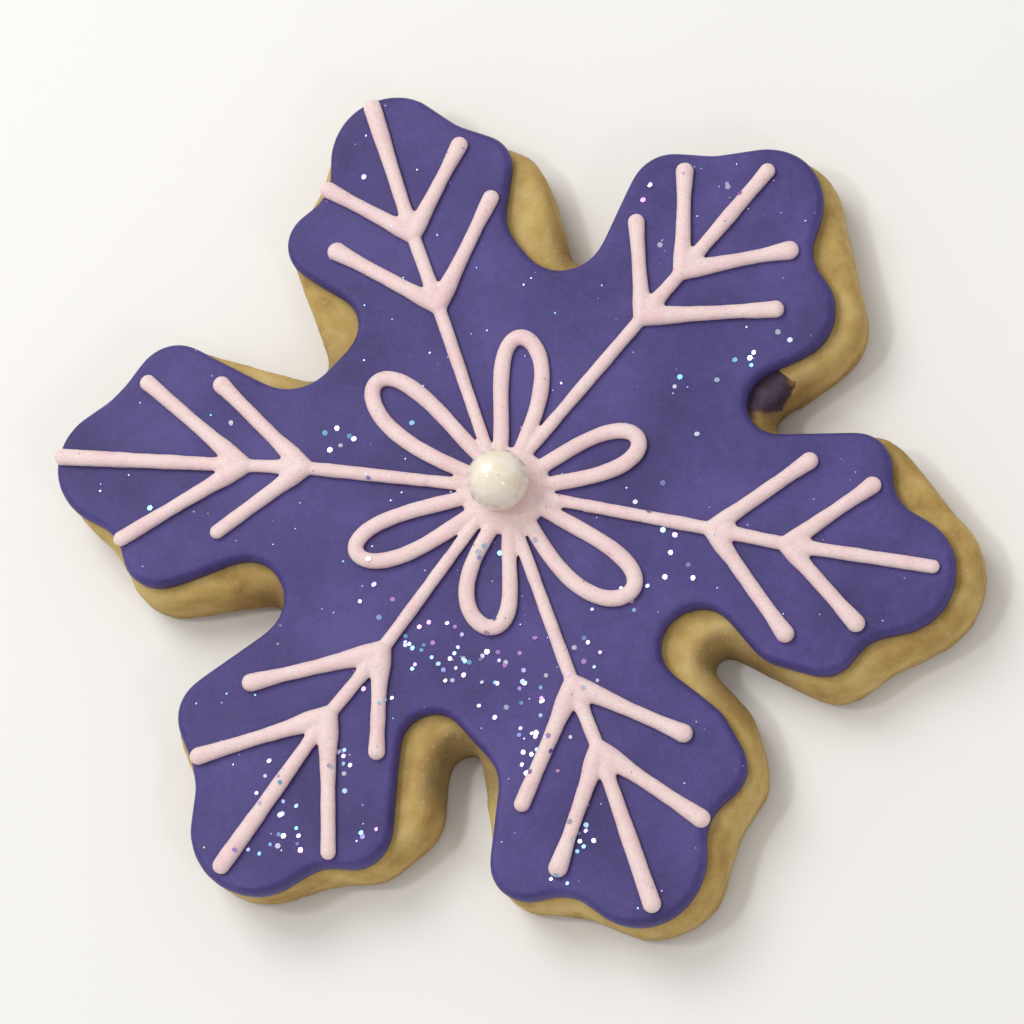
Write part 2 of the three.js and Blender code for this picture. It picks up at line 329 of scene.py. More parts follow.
# edible glitter: thin flat film flakes with a metallic shine, each of its own pastel tint
def glitterFilm():
    film = {
        "shader": {"Roughness": 0.3, "Metallic": 0.8},
        "tints": [(0.0, "dedaf0"), (0.35, "c4d2ec"), (0.52, "7ec2dc"), (0.66, "989fe6"),
                  (0.8, "b698e2"), (1.0, "e2a8d2")],
    }
    material, tree, _ = newMaterial("iridescent edible glitter film", film)
    tint = addNode(tree, "ShaderNodeAttribute", attribute_name="flakeTint").outputs["Fac"]
    base = addNode(tree, "ShaderNodeValToRGB", (tint,), film["tints"])
    feed(tree, tree.nodes["Principled BSDF"], {"Base Color": base})
    return material


doughMaterial = bakedDough()
floodMaterial = floodIcing()
smearMaterial = smearedIcing()
pipingMaterial = pipedIcing()
pearlMaterial = sugarPearl()
glitterMaterial = glitterFilm()
print("materials made")


# a smooth noise in lumps of this size, from about -1 to 1
def noiseAt(place, size, seed=0.0):
    return noise.noise(Vector((place.x / size, place.y / size, place.z / size + seed)))


# the height of a relief in millimetres, from its layers: [size, height, seed]
def reliefAt(place, layers, seed=0.0):
    return sum(height * noiseAt(place, size, seed + ownSeed) for size, height, ownSeed in layers)


# plan outlines: closed loops of points in millimetres, anticlockwise. This one is the ring of a
# CAD node's points at the height where it is widest, along the feet of the faces over it
def cadRing(nodeName):
    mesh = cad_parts[nodeName].data
    height = max((v.co for v in mesh.vertices), key=lambda co: co.x).z
    onRing = [abs(v.co.z - height) < 1e-6 for v in mesh.vertices]
    key = [(round(v.co.x, 6), round(v.co.y, 6)) for v in mesh.vertices]
    following = {}
    for polygon in mesh.polygons:
        corners = list(polygon.vertices)
        for a, b, c in zip(corners, corners[1:] + corners[:1], corners[2:] + corners[:2]):
            if onRing[a] and onRing[b] and not onRing[c] and mesh.vertices[c].co.z > height:
                following[key[a]] = key[b]
    start = next(iter(following))
    ring = [start]
    while following[ring[-1]] != start:
        ring.append(following[ring[-1]])
    return np.array(ring) / metresPerMm


def evenLoop(points, spacing):
    closed = np.vstack([points, points[:1]])
    lengths = np.r_[0, np.cumsum(np.linalg.norm(np.diff(closed, axis=0), axis=1))]
    count = round(lengths[-1] / spacing)
    at = np.arange(count) * lengths[-1] / count
    return np.c_[np.interp(at, lengths, closed[:, 0]), np.interp(at, lengths, closed[:, 1])]


# values along a loop, one or more to a point, without their waves shorter than about the width
def smoothLoop(values, spacing, width):
    waves = np.fft.fftfreq(len(values), spacing)
    keep = np.exp(-2 * (math.pi * width * waves) ** 2)
    return np.fft.ifft(np.fft.fft(values, axis=0) * keep[:, None], axis=0).real


def loopNormals(loop):
    tangents = np.roll(loop, -1, axis=0) - np.roll(loop, 1, axis=0)
    normals = np.c_[tangents[:, 1], -tangents[:, 0]]
    return normals / np.linalg.norm(normals, axis=1)[:, None]


# the outline of a CAD node, softened and made to wander a little
def wavyLoop(nodeName, plan):
    spacing = plan["spacing"]
    loop = smoothLoop(evenLoop(cadRing(nodeName), spacing), spacing, plan["smoothing"])
    shift = [plan["swing"] * noise.noise(Vector((x / plan["wave"], y / plan["wave"], plan["seed"])))
             for x, y in loop]
    return evenLoop(loop + loopNormals(loop) * np.array(shift)[:, None], spacing)


# a loop moved inwards, and smoothed first, the more the further, so that it doesn't fold
def insetLoop(loop, spacing, inset, softening=0.45, shallow=0.3):
    inner = smoothLoop(loop, spacing, softening * inset) if inset > shallow else loop
    return inner - loopNormals(inner) * inset


def insideLoop(points, loop):
    inside = np.zeros(len(points), bool)
    for (x1, y1), (x2, y2) in zip(loop, np.roll(loop, -1, axis=0)):
        spans = (y1 > points[:, 1]) != (y2 > points[:, 1])
        if y1 != y2:
            crossing = x1 + (points[:, 1] - y1) * (x2 - x1) / (y2 - y1)
            inside ^= spans & (points[:, 0] < crossing)
    return inside


def distanceToLoop(points, loop, batch=4000):
    nearest = np.empty(len(points))
    for start in range(0, len(points), batch):
        gaps = points[start:start + batch, None, :] - loop[None, :, :]
        nearest[start:start + batch] = np.sqrt((gaps ** 2).sum(axis=2).min(axis=1))
    return nearest


# how the flat fill of a loop is scattered, in parts of the spacing
fill = {"jitter": 0.18, "clear": 0.55, "seed": 3}


# a flat fill of a loop: triangles between the loop's own points, which are counted first, and
# the points inside it
def fillLoop(loop, spacing):
    low, high = loop.min(axis=0), loop.max(axis=0)
    rows = []  # of a triangular grid
    for row, y in enumerate(np.arange(low[1], high[1], spacing * math.sqrt(0.75))):
        xs = np.arange(low[0] + (row % 2) * spacing / 2, high[0], spacing)
        rows.append(np.c_[xs, np.full(len(xs), y)])
    grid = np.vstack(rows)
    draw = np.random.default_rng(fill["seed"])
    grid = grid + draw.uniform(-fill["jitter"], fill["jitter"], grid.shape) * spacing
    grid = grid[insideLoop(grid, loop)]
    grid = grid[distanceToLoop(grid, loop) > fill["clear"] * spacing]
    points = np.vstack([loop, grid])
    edges = [(i, (i + 1) % len(loop)) for i in range(len(loop))]
    made = delaunay_2d_cdt([Vector(p) for p in points], edges, [], 1, 1e-6)
    original = [sources[0] for sources in made[3]]
    return grid, [[original[corner] for corner in face] for face in made[2]]


# a closed body from stacked rings of the same count, the lowest first, filled at both ends; an
# end is the spacing of its fill and a function that gives the height of the fill's points
def bodyFromRings(rings, lowerEnd, upperEnd):
    count = len(rings[0])
    vertices = np.vstack(rings)
    faces = []
    for base in range(0, len(vertices) - count, count):
        for i in range(count):
            j = (i + 1) % count
            faces.append((base + i, base + j, base + count + j, base + count + i))
    for ring, first, (spacing, heightOf) in ((rings[0], 0, lowerEnd),
                                             (rings[-1], len(vertices) - count, upperEnd)):
        grid, triangles = fillLoop(ring[:, :2], spacing)
        offset = len(vertices) - count
        vertices = np.vstack([vertices, np.c_[grid, heightOf(grid)]])
        for triangle in triangles:
            corners = [first + c if c < count else offset + c for c in triangle]
            faces.append(corners if first else corners[::-1])
    return vertices, faces


def meshFrom(name, vertices, faces):
    mesh = bpy.data.meshes.new(name)
    mesh.from_pydata([tuple(v) for v in vertices], [], faces)
    mesh.update()
    return mesh


def addAttribute(mesh, name, values):
    mesh.attributes.new(name, "FLOAT", "POINT").data.foreach_set("value", values)


# moves each point along its normal by what the relief function says, in millimetres
def relieve(mesh, relief):
    mesh.update()
    moved = []
    for vertex in mesh.vertices:
        normal = vertex.normal
        moved.extend(vertex.co + normal * relief(vertex.co, normal))
    mesh.vertices.foreach_set("co", moved)
    mesh.update()


def placePiece(mesh, name, material, nodes=()):
    mesh.transform(Matrix.Scale(metresPerMm, 4))
    mesh.materials.clear()
    mesh.materials.append(material)
    mesh.shade_smooth()
    piece = bpy.data.objects.new(name, mesh)
    scene.collection.objects.link(piece)
    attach(piece, "root")
    if nodes:
        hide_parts(*nodes)
    print(f"{name}: {sum(len(p.vertices) - 2 for p in mesh.polygons)} triangles")
    return piece


# the surface of a finished piece, for rays, in metres or divided by a scale
def surfaceOf(piece, scale=1.0):
    mesh = piece.data
    return BVHTree.FromPolygons([v.co / scale for v in mesh.vertices],
                                [list(p.vertices) for p in mesh.polygons])


# the dough, cut out and baked: slightly slumped walls, soft edges and a crumb relief
dough = {
    "spacing": 0.36,
    "smoothing": 0.9,
    "swing": 0.35,
    "wave": 9.0,
    "seed": 2.5,
    "top": 7.0,
    "upperInset": 1.6,
    "upperDrop": 2.3,
    "lowerInset": 1.3,
    "lowerDrop": 1.9,
    "edgeSteps": 8,
    "wallSteps": 8,
    "bulge": 0.15,
    "margin": 1.1,  # how much of the flat faces the fine rings cover
    "marginRings": (0.33, 0.66, 1.0),
    "lowerFill": 0.75,
    "upperFill": 2.0,  # coarse, because the icing hides it
    "nookReach": 7.0,  # painted shade, with some browning, darkens the dough in a notch, where so much wall faces it close by
    "nookAhead": 1.0,
    "nookWall": (6.0, 11.0),
    "nookInset": (2.7, 1.1),  # it fades out between these insets from the outline
    "nookSmoothing": 1.5,
    "lumps": [(5.5, 0.16, 3.1), (2.3, 0.096, 7.7)],
    "crumbs": [(1.1, 0.06, 1.3), (0.6, 0.03, 5.9)],
    "underside": -0.9,  # what faces down this much lay on the tray
    "pressed": 0.3,  # and keeps this much of its lumps
}


# inset and height of each ring, from the underside round the wall to the top
def doughProfile():
    top, upperDrop, lowerDrop = dough["top"], dough["upperDrop"], dough["lowerDrop"]
    upperInset, lowerInset = dough["upperInset"], dough["lowerInset"]
    turns = [math.pi / 2 * i / dough["edgeSteps"] for i in range(dough["edgeSteps"] + 1)]
    lower = [(lowerInset * (1 - math.sin(a)), lowerDrop * (1 - math.cos(a))) for a in turns]
    upper = [(upperInset * (1 - math.cos(a)), top - upperDrop * (1 - math.sin(a))) for a in turns]
    rise = top - upperDrop - lowerDrop
    wall = [(0.0, lowerDrop + rise * i / dough["wallSteps"]) for i in range(1, dough["wallSteps"])]
    margins = [dough["margin"] * share for share in dough["marginRings"]]
    flatLower = [(lowerInset + margin, 0.0) for margin in reversed(margins)]
    flatUpper = [(upperInset + margin, top) for margin in margins]
    return flatLower + lower + wall + upper + flatUpper


# how much the crumb stands out or sinks in; the underside is pressed flat by the tray
def crumbRelief(place, normal):
    lump, crumb = reliefAt(place, dough["lumps"]), reliefAt(place, dough["crumbs"])
    if normal.z < dough["underside"]:
        return min(0.0, dough["pressed"] * lump + crumb)
    return lump + crumb


# how shut in each point of the outline is, by the length of wall that it faces close by, which sets the
# painted shade in a notch
def nookShare(loop):
    gaps = loop[None, :, :] - loop[:, None, :]
    ahead = (gaps * loopNormals(loop)[:, None, :]).sum(axis=2)
    facing = (np.linalg.norm(gaps, axis=2) < dough["nookReach"]) & (ahead > dough["nookAhead"])
    low, high = dough["nookWall"]
    share = np.clip((facing.sum(axis=1) * dough["spacing"] - low) / (high - low), 0, 1)
    return smoothLoop(share[:, None], dough["spacing"], dough["nookSmoothing"])[:, 0]


def buildDough():
    loop = wavyLoop("dough", dough)
    far, near = dough["nookInset"]
    rings, faded = [], []
    for inset, height in doughProfile():
        middle = 1 - abs(2 * height / dough["top"] - 1)
        plan = insetLoop(loop, dough["spacing"], inset) + loopNormals(loop) * dough["bulge"] * middle
        rings.append(np.c_[plan, np.full(len(plan), height)])
        faded.append(np.clip((far - inset) / (far - near), 0, 1))
    vertices, faces = bodyFromRings(
        rings, (dough["lowerFill"], lambda points: np.zeros(len(points))),
        (dough["upperFill"], lambda points: np.full(len(points), dough["top"])))
    mesh = meshFrom("cookie_dough", vertices, faces)
    # how much painted shade each ring of the wall gets in the notches
    nook = np.zeros(len(vertices))
    nook[:len(rings) * len(loop)] = np.outer(faded, nookShare(loop)).ravel()
    addAttribute(mesh, "nook", nook)
    relieve(mesh, crumbRelief)
    for vertex in mesh.vertices:
        vertex.co.z = max(vertex.co.z, 0.0)
    return placePiece(mesh, "cookie_dough", doughMaterial, ["dough"]), loop


doughPiece, doughLoop = buildDough()

# the flooded icing: it lies on the dough, turns down over its soft shoulder and ends in a
# rounded rim that stands a little proud of the flat
icing = {
    "spacing": 0.36,
    "smoothing": 0.6,
    "swing": 0.2,
    "wave": 7.0,
    "seed": 6.5,
    "top": 8.9,
    "rimWidth": 0.75,
    "rimSteps": 12,
    "widest": 0.5,  # the rim stands out furthest at this part of its height
    "undercut": 0.15,
    "undercutRings": (1.0, 0.55, 0.2),
    "sink": 0.25,  # how far its foot reaches into the dough, so that no gap shows
    "lowestFoot": 6.7,
    "footStep": 0.1,
    "footSmoothing": 1.2,
    "bead": 0.03,
    "beadAt": 1.3,
    "beadWidth": 0.7,
    "swells": [(11, 0.07, 4.4), (3.7, 0.028, 8.8)],
    "ringsPastRim": (0.4, 0.8),
    "lowerFill": 2.5,  # coarse, because it is hidden on the dough
    "upperFill": 0.5,
}


# the height of the dough's top this deep inside its outline
def doughSurface(depth):
    share = np.clip(1 - depth / dough["upperInset"], 0, 1)
    return dough["top"] - dough["upperDrop"] * (1 - np.sqrt(np.clip(1 - share ** 2, 0, 1)))


def icingPlateau(points, depth):
    rise = icing["bead"] * np.exp(-((depth - icing["beadAt"]) / icing["beadWidth"]) ** 2)
    swell = [reliefAt(Vector((x, y, 0)), icing["swells"]) for x, y in points]
    return icing["top"] + rise + np.array(swell)


def buildIcing():
    spacing = icing["spacing"]
    loop = wavyLoop("icing", icing)
    inward = np.where(insideLoop(loop, doughLoop), 1, -1)
    depth = distanceToLoop(loop, evenLoop(doughLoop, icing["footStep"])) * inward
    depth = smoothLoop(depth[:, None], spacing, icing["footSmoothing"])[:, 0]
    foot = np.maximum(doughSurface(depth), icing["lowestFoot"]) - icing["sink"]
    widest = foot + icing["widest"] * (icing["top"] - foot)
    rings = []
    for share in icing["undercutRings"]:
        plan = insetLoop(loop, spacing, icing["undercut"] * share)
        rings.append(np.c_[plan, foot + (widest - foot) * (1 - share)])
    turns = [math.pi / 2 * step / icing["rimSteps"] for step in range(icing["rimSteps"] + 1)]
    rounded = [(icing["rimWidth"] * (1 - math.cos(turn)), math.sin(turn)) for turn in turns]
    flat = [(icing["rimWidth"] + extra, 1.0) for extra in icing["ringsPastRim"]]
    for inset, rise in rounded + flat:
        plan = insetLoop(loop, spacing, inset)
        top = icingPlateau(plan, np.full(len(plan), inset))
        rings.append(np.c_[plan, widest + (top - widest) * rise])
    vertices, faces = bodyFromRings(
        rings, (icing["lowerFill"], lambda points: np.full(len(points), dough["top"] - icing["sink"])),
        (icing["upperFill"], lambda points: icingPlateau(points, distanceToLoop(points, loop))))
    mesh = meshFrom("flood_icing", vertices, faces)
    return placePiece(mesh, "flood_icing", floodMaterial, ["icing"])


icingPiece = buildIcing()

# piped lines of icing
piping = {
    "spineRadius": 0.82,
    "branchRadius": 0.86,
    "petalRadius": 0.9,
    "rootWidth": 0.92,  # a spine is narrower where it starts
    "knobSwell": 1.2,  # where a line was broken off, a little larger or smaller each time
    "knobVary": 0.35,
    "knobNoise": (2.7, 0.4),
    "flatness": 0.74,  # height of a line over its width
    "lift": 0.36,  # height of its widest part over the icing
    "step": 0.3,
    "wobble": 0.24,
    "wobbleWave": 4.0,
    "sides": 14,
    "voxel": 0.15,
    "smoothing": 7,
    "relief": [(1.9, 0.03, 0.0), (0.6, 0.012, 3.0)],
    "rootBack": 0.3,  # a branch starts this far before its fork, and swings out round the web
    "kneeOut": 0.22,
    "bends": (0.13, 0.3, 0.5, 0.75),
    "webEnd": 3.8,  # the icing runs together at a fork, so the lines are wider up to here past it
    "webFade": 0.3,
    "webMiddle": (1.3, 1.5, 1.0),  # a ball that levels it: how far on, radius, rise
}
# each arm's spray: web is the widening at its forks, and places are [along, across] the arm in
# millimetres, for the spine its root, its two forks and its tip, else the ends of the branches
sprays = {
    0: {"web": 1.2, "spine": [(9, 1.6), (24, 1), (32.8, 0.5), (49.2, 0.4)],
        "inner": [(33.1, 10.5), (34.4, -9.7)], "outer": [(40.7, 8.7), (42, -7.3)]},
    60: {"web": 1.32, "spine": [(11.6, 2.8), (27, 3.1), (34, 3.2), (48.8, 3.5)],
         "inner": [(34.8, 11.4), (36.8, -8.4)], "outer": [(42.9, 11.1), (43.1, -4.9)]},
    120: {"web": 1.28, "spine": [(12, 0.1), (26.6, 0.2), (36.1, 0.4), (52.8, 0.2)],
          "inner": [(37.2, 9.4), (36.6, -9.5)], "outer": [(44.9, 8.1), (44.3, -8)]},
    180: {"web": 1.32, "spine": [(10, -1.8), (24.9, -1.2), (32.1, -0.4), (53.4, 1.7)],
          "inner": [(33, 7.8), (36.6, -9.6)], "outer": [(44.1, 10.3), (45.4, -8.6)]},
    240: {"web": 1.48, "spine": [(8.6, -1.2), (22, 0.1), (31.4, 0.5), (51.4, 2.8)],
          "inner": [(30.5, 7.7), (33.8, -9.2)], "outer": [(42.5, 11.3), (43.9, -8)]},
    300: {"web": 1.42, "spine": [(9.2, 0.4), (22.9, 0.8), (31.2, 1.2), (49.6, 1.4)],
          "inner": [(32.4, 10.7), (33.6, -8.8)], "outer": [(42.3, 9.5), (42, -7.2)]},
}


# an empty geometry nodes tree with named inputs, and the sockets that give them
def newTree(name, output, **inputs):
    tree = bpy.data.node_groups.new(name, "GeometryNodeTree")
    for label, kind in inputs.items():
        tree.interface.new_socket(label, in_out="INPUT", socket_type=f"NodeSocket{kind}")
    tree.interface.new_socket(output, in_out="OUTPUT", socket_type="NodeSocketGeometry")
    return tree, addNode(tree, "NodeGroupInput").outputs


def endTree(tree, geometry, material):
    real = addNode(tree, "GeometryNodeRealizeInstances", {"Geometry": geometry})
    painted = addNode(tree, "GeometryNodeSetMaterial", {"Geometry": real, "Material": material})
    addNode(tree, "NodeGroupOutput", (painted,))
    return tree


# geometry nodes: a line of icing squeezed along a curve, its width wandering as the hand does,
# with a ball where it starts and where it ends
def pipedLineTree():
    tree, source = newTree("piped_line", "Body", Line="Geometry", Step="Float", Wobble="Float",
                           Wave="Float", Seed="Float", Sides="Int", Material="Material")
    even = addNode(tree, "GeometryNodeResampleCurve", {"Curve": source["Line"], "Length": source["Step"]},
                   mode="LENGTH")
    scale = addNode(tree, "ShaderNodeMath", (1.0, source["Wave"]), operation="DIVIDE")
    wander = addNode(tree, "ShaderNodeTexNoise", {
        "Vector": addNode(tree, "GeometryNodeInputPosition"), "W": source["Seed"], "Scale": scale,
        "Detail": 1.0,
    }, noise_dimensions="4D")
    centred = addNode(tree, "ShaderNodeMath", (wander, 0.5), operation="SUBTRACT")
    factor = addNode(tree, "ShaderNodeMath", (centred, source["Wobble"], 1.0), operation="MULTIPLY_ADD")
    radius = addNode(tree, "GeometryNodeInputRadius")
    wide = addNode(tree, "ShaderNodeMath", (radius, factor), operation="MULTIPLY")
    section = addNode(tree, "GeometryNodeCurvePrimitiveCircle", {
        "Resolution": source["Sides"], "Radius": 1.0,
    })
    tube = addNode(tree, "GeometryNodeCurveToMesh", {
        "Curve": even, "Profile Curve": section, "Scale": wide, "Fill Caps": True,
    })
    ends = addNode(tree, "GeometryNodeInstanceOnPoints", {
        "Points": even, "Selection": addNode(tree, "GeometryNodeCurveEndpointSelection"),
        "Instance": addNode(tree, "GeometryNodeMeshIcoSphere", {"Radius": 1.0, "Subdivisions": 3}),
        "Scale": wide,
    })
    joined = addNode(tree, "GeometryNodeJoinGeometry", {"Geometry": [tube, ends]})
    return endTree(tree, joined, source["Material"])


def looseObject(data):
    loose = bpy.data.objects.new("source", data)
    scene.collection.objects.link(loose)
    return loose


# the plain mesh that a loose object's modifiers make of it; the object goes
def plainMesh(loose):
    bpy.context.view_layer.update()
    evaluated = loose.evaluated_get(bpy.context.evaluated_depsgraph_get())
    mesh = bpy.data.meshes.new_from_object(evaluated)
    bpy.data.objects.remove(loose)
    return mesh


def meshFromTree(data, tree, values):
    loose = looseObject(data)
    modifier = loose.modifiers.new("made", "NODES")
    modifier.node_group = tree
    for item in tree.interface.items_tree:
        if item.in_out == "INPUT" and item.name in values:
            modifier[item.identifier] = values[item.name]
    return plainMesh(loose)


# one smooth skin over overlapping bodies: voxels, then relaxing
def fuseMesh(mesh):
    loose = looseObject(mesh)
    skin = loose.modifiers.new("skin", "REMESH")
    skin.mode = "VOXEL"
    skin.voxel_size = piping["voxel"]
    relax = loose.modifiers.new("relax", "SMOOTH")
    relax.factor = 0.5
    relax.iterations = piping["smoothing"]
    return plainMesh(loose)


def onArm(bearing, along, across):
    turn = math.radians(bearing)
    return Vector((along * math.cos(turn) - across * math.sin(turn),
                   along * math.sin(turn) + across * math.cos(turn), 0.0))


# a curve through a few points with a radius at each, rounded like a pulled line
def addStroke(curve, points, radii):
    spline = curve.splines.new("BEZIER")
    spline.bezier_points.add(len(points) - 1)
    spline.resolution_u = 24
    for i, (knot, point, radius) in enumerate(zip(spline.bezier_points, points, radii)):
        before, after = points[max(i - 1, 0)], points[min(i + 1, len(points) - 1)]
        heading = (after - before).normalized() / 3
        knot.co = point
        knot.handle_left = point - heading * (point - before).length
        knot.handle_right = point + heading * (after - point).length
        knot.radius = radius


def newStrokes(name):
    curve = bpy.data.curves.new(name, "CURVE")
    curve.dimensions = "3D"
    return curve


pipedLine = pipedLineTree()


# strokes and balls of icing run together into one body that lies on the flooded icing; a ball
# is its centre and its three radii
def pipedBody(curve, seed, balls):
    mesh = meshFromTree(curve, pipedLine, {
        "Step": piping["step"], "Wobble": piping["wobble"], "Wave": piping["wobbleWave"],
        "Seed": float(seed), "Sides": piping["sides"], "Material": pipingMaterial,
    })
    shape = bmesh.new()
    shape.from_mesh(mesh)
    for centre, radii in balls:
        place = Matrix.Translation(centre) @ Matrix.Diagonal((*radii, 1))
        bmesh.ops.create_icosphere(shape, subdivisions=4, radius=1, matrix=place)
    shape.to_mesh(mesh)
    shape.free()
    flatten = Matrix.Diagonal((1, 1, piping["flatness"], 1))
    mesh.transform(Matrix.Translation((0, 0, icing["top"] + piping["lift"])) @ flatten)
    fused = fuseMesh(mesh)
    relieve(fused, lambda place, normal: reliefAt(place, piping["relief"], seed))
    return fused


def branchPoints(fork, end, onward, side):
    aside = (end - fork).normalized()
    backward = Vector((-aside.y, aside.x, 0)) * side
    bends = [fork.lerp(end, share) + backward * piping["kneeOut"] * (1 - share)
             for share in piping["bends"]]
    return [fork - onward * piping["rootBack"], *bends, end]


def knobAt(place):
    return piping["knobSwell"] + piping["knobVary"] * noiseAt(place, *piping["knobNoise"])


def buildSpray(bearing, plan):
    curve = newStrokes(f"spray_{bearing}")
    start, inner, outer, tip = [onArm(bearing, *point) for point in plan["spine"]]
    thick, thin, web = piping["spineRadius"], piping["branchRadius"], plan["web"]
    ahead, wide, rise = piping["webMiddle"]
    line, widths, balls = [start], [piping["rootWidth"]], []
    for fork, beyond, ends in ((inner, outer, plan["inner"]), (outer, tip, plan["outer"])):
        onward = (beyond - fork).normalized()
        line += [fork, fork + onward * piping["webEnd"] / 2, fork + onward * piping["webEnd"]]
        widths += [1.0, (1 + web) / 2, 1.0]
        balls.append((fork + onward * ahead, (wide, wide, rise)))
        for end, side in zip(ends, (1, -1)):
            points = branchPoints(fork, onArm(bearing, *end), onward, side)
            fading = 1 + piping["webFade"] * (web - 1)
            swelling = (web, web, fading, 1, 1, knobAt(points[-1]))
            addStroke(curve, points, [thin * share for share in swelling])
    addStroke(curve, line + [tip], [thick * share for share in widths + [knobAt(tip)]])
    mesh = pipedBody(curve, bearing / 60, balls)
    return placePiece(mesh, f"piped_spray_{bearing}", pipingMaterial, [f"spray_{bearing}"])


sprayPieces = [buildSpray(bearing, plan) for bearing, plan in sprays.items()]

# the flower of six loops round a hub of icing, which the pearl is pressed into
flower = {
    "hub": (-0.6, 2.0),
    "hubRadius": 5.2,
    "hubHeight": 1.75,
    "hubSink": 0.2,
    "rootAlong": 4.2,
    "rootAcross": 1.1,
    "bellyPower": 1.5,
    "bellySwell": 0.06,
    "steps": 24,
    "spineStart": 4.0,  # how far from the hub's middle the roots of the spines start
    "shortestRoot": 1.0,
    "seatGap": 0.02,
    "seed": 9,
    "petals": [  # bearing, reach, belly and lean
        (30.3, 16.1, 2.3, 0), (97, 18.4, 2.5, -0.6), (149.7, 20.7, 2.8, 0.4),
        (211.8, 18.4, 2.5, 0.2), (276.3, 16.2, 2.7, -0.8), (330.5, 19.3, 3.1, -0.5),
    ],
}
# the pearl is a whole ball, a little uneven
pearl = {
    "centre": (-0.8, 2.1, 12.8),
    "radius": 3.55,
    "relief": [(2.6, 0.05, 1.0), (1.2, 0.022, 5.0)],
    "shrink": 0.03,
}


def petalPoints(bearing, reach, belly, lean):
    hub = Vector((*flower["hub"], 0))
    points = []
    for i in range(flower["steps"] + 1):
        angle = math.pi * i / flower["steps"]
        outward = math.sin(angle)
        along = flower["rootAlong"] + (reach - flower["rootAlong"]) * outward ** 2
        swell = belly * math.sin(2 * angle) * max(outward, 0) ** flower["bellyPower"]
        sway = lean * math.sin(2 * angle) ** 2
        across = swell + sway + flower["rootAcross"] * math.cos(angle)
        points.append(hub + onArm(bearing, along, across))
    return points


def buildFlower():
    curve = newStrokes("flower")
    for petal in flower["petals"]:
        points = petalPoints(*petal)
        bellies = [math.sin(math.pi * i / (len(points) - 1)) for i in range(len(points))]
        addStroke(curve, points, [piping["petalRadius"] * (1.0 + flower["bellySwell"] * belly)
                                  for belly in bellies])
    hub = Vector((*flower["hub"], 0))
    for bearing, plan in sprays.items():
        start, fork = (onArm(bearing, *point) for point in plan["spine"][:2])
        inward = (start - fork).normalized()
        root = max((start - hub).length - flower["spineStart"], flower["shortestRoot"])
        near = start + inward * root
        addStroke(curve, [near, near.lerp(start, 0.5), start],
                  [piping["spineRadius"] * piping["rootWidth"]] * 3)
    height = (flower["hubHeight"] - piping["lift"]) / piping["flatness"]
    dome = ((*flower["hub"], -flower["hubSink"]), (flower["hubRadius"], flower["hubRadius"], height))
    mesh = pipedBody(curve, flower["seed"], [dome])
    centre, reach = Vector(pearl["centre"]), pearl["radius"] + flower["seatGap"]
    for vertex in mesh.vertices:
        away = vertex.co - centre
        if away.length < reach:
            vertex.co = centre + away.normalized() * reach
    return placePiece(mesh, "piped_flower", pipingMaterial, ["flower"])


flowerPiece = buildFlower()


def buildPearl():
    shape = bmesh.new()
    bmesh.ops.create_icosphere(shape, subdivisions=5, radius=pearl["radius"])
    mesh = bpy.data.meshes.new("sugar_pearl")
    shape.to_mesh(mesh)
    shape.free()
    relieve(mesh, lambda place, normal: reliefAt(place, pearl["relief"]) - pearl["shrink"])
    mesh.transform(Matrix.Translation(pearl["centre"]))
    return placePiece(mesh, "sugar_pearl", pearlMaterial, ["pearl"])


pearlPiece = buildPearl()

# a thin smear of icing that ran down the wall of one notch. It is a sheet of columns along the
# wall and rows up it, and where it isn't smeared the sheet stays hidden in the dough
drip = {
    "centre": (25.5, 20.9),
    "length": 7.2,
    "hub": (3.0, 4.0),  # its rows fan out from a line this far inside the wall, at this height
    "rayStart": 2.0,  # and are found from this far outside it
    "fan": (-30.0, 104.0),
    "columns": 60,
    "rows": 44,
    "smoothing": 0.6,
    "thickness": 0.14,
    "sunk": 0.12,
    "backing": 0.4,
    "ragged": [(4.1, 3.3, 0.05, 0.7), (13, 9, 0.04, 4.2)],  # waves along and up, height, seed
    "lowest": [(0, 0.676), (0.36, 0.1), (0.38, 0.1), (1, 0.72)],  # by the part of its length
    "highest": [(0, 1.2), (0.54, 1.2), (1, 0.326)],
    "tail": 0.6,  # its far end fades out more slowly
    "fade": 4.5,
}


# how much of its thickness the smear has, from 0 to 1, at a part of its length and height
def dripShare(u, v):
    edge = sum(height * noise.noise(Vector((along * u, up * v, seed)))
               for along, up, height, seed in drip["ragged"])
    lowest, highest = (np.interp(u, *zip(*drip[name])) + edge for name in ("lowest", "highest"))
    ends = min(u, drip["tail"] * (1 - u)) + edge
    share = min(1.0, max(0.0, drip["fade"] * min(v - lowest, highest - v, ends)))
    return share * share * (3 - 2 * share)  # eased where it starts and ends


